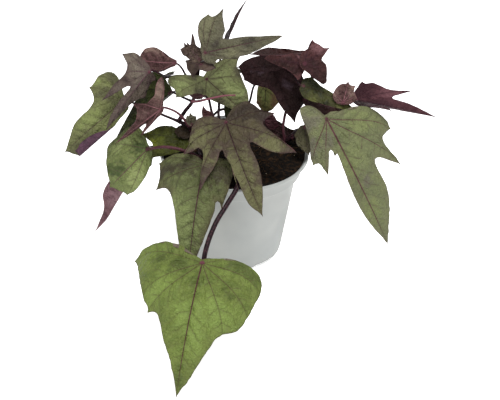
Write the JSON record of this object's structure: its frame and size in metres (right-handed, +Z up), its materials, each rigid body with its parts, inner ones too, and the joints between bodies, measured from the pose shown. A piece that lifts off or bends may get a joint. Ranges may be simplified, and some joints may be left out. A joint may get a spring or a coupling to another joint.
{
  "type": "sweet potato vine",
  "caption": "Sweet potato vine with lobed green and purple leaves on branching stems, growing from the soil of a round tapered pot.",
  "frame": {"origin": "middle of the pot's flat base, on the surface that it stands on", "axes": "+Z up; the large heart-shaped leaf hangs out over the rim towards -Y, the front; +X is to the right seen from the front"},
  "size_m": [0.2941, 0.3033, 0.2177],
  "materials": {
    "pot": "matt pale grey polypropylene",
    "soil": "loose dark potting mix with a few pale grains",
    "stem": "smooth dark purple rind",
    "leaf_green": "soft satin green with purple veins",
    "leaf_deep": "dark green",
    "leaf_olive": "olive brown with purple veins",
    "leaf_mauve": "grey mauve",
    "leaf_purple": "dusty purple",
    "leaf_dark": "near-black purple"
  },
  "bodies": {
    "root": {"pot": "pot", "soil": "soil", "vine_left": "stem", "vine_middle": "stem", "vine_front": "stem", "vine_right": "stem", "vine_back": "stem", "leaf_front_heart": "leaf_green", "leaf_front_lower": "leaf_green", "leaf_front_star": "leaf_olive", "leaf_upper_middle": "leaf_green", "leaf_top_flag": "leaf_olive", "leaf_top_sliver": "leaf_purple", "leaf_left_fold": "leaf_mauve", "leaf_left_purple": "leaf_purple", "leaf_far_left": "leaf_green", "leaf_left_dark": "leaf_deep", "leaf_left_small": "leaf_purple", "leaf_left_low": "leaf_green", "leaf_left_low_tip": "leaf_purple", "leaf_left_inner": "leaf_deep", "leaf_left_grey": "leaf_mauve", "leaf_right_large": "leaf_green", "leaf_right_purple": "leaf_purple", "leaf_right_young": "leaf_purple", "leaf_right_green": "leaf_green", "leaf_right_under": "leaf_dark", "leaf_right_rim": "leaf_deep", "leaf_right_inner": "leaf_mauve", "leaf_right_red": "leaf_purple", "leaf_right_back": "leaf_green", "leaf_upper_dark": "leaf_dark", "leaf_upper_left": "leaf_purple", "leaf_upper_edge": "leaf_dark", "leaf_upper_pink": "leaf_purple", "leaf_upper_tall": "leaf_purple", "leaf_middle_dark": "leaf_deep", "leaf_node_dark": "leaf_dark", "leaf_crown_red": "leaf_purple", "leaf_crown_bud": "leaf_olive", "leaf_crown_curl": "leaf_mauve", "leaf_crown_hang": "leaf_mauve", "leaf_crown_small": "leaf_mauve", "leaf_back_middle": "leaf_green", "leaf_back_left": "leaf_deep", "leaf_back_right": "leaf_green", "leaf_back_crown": "leaf_green", "leaf_back_upper": "leaf_deep", "leaf_right_behind": "leaf_green", "leaf_left_behind": "leaf_deep"}
  },
  "joints": []
}
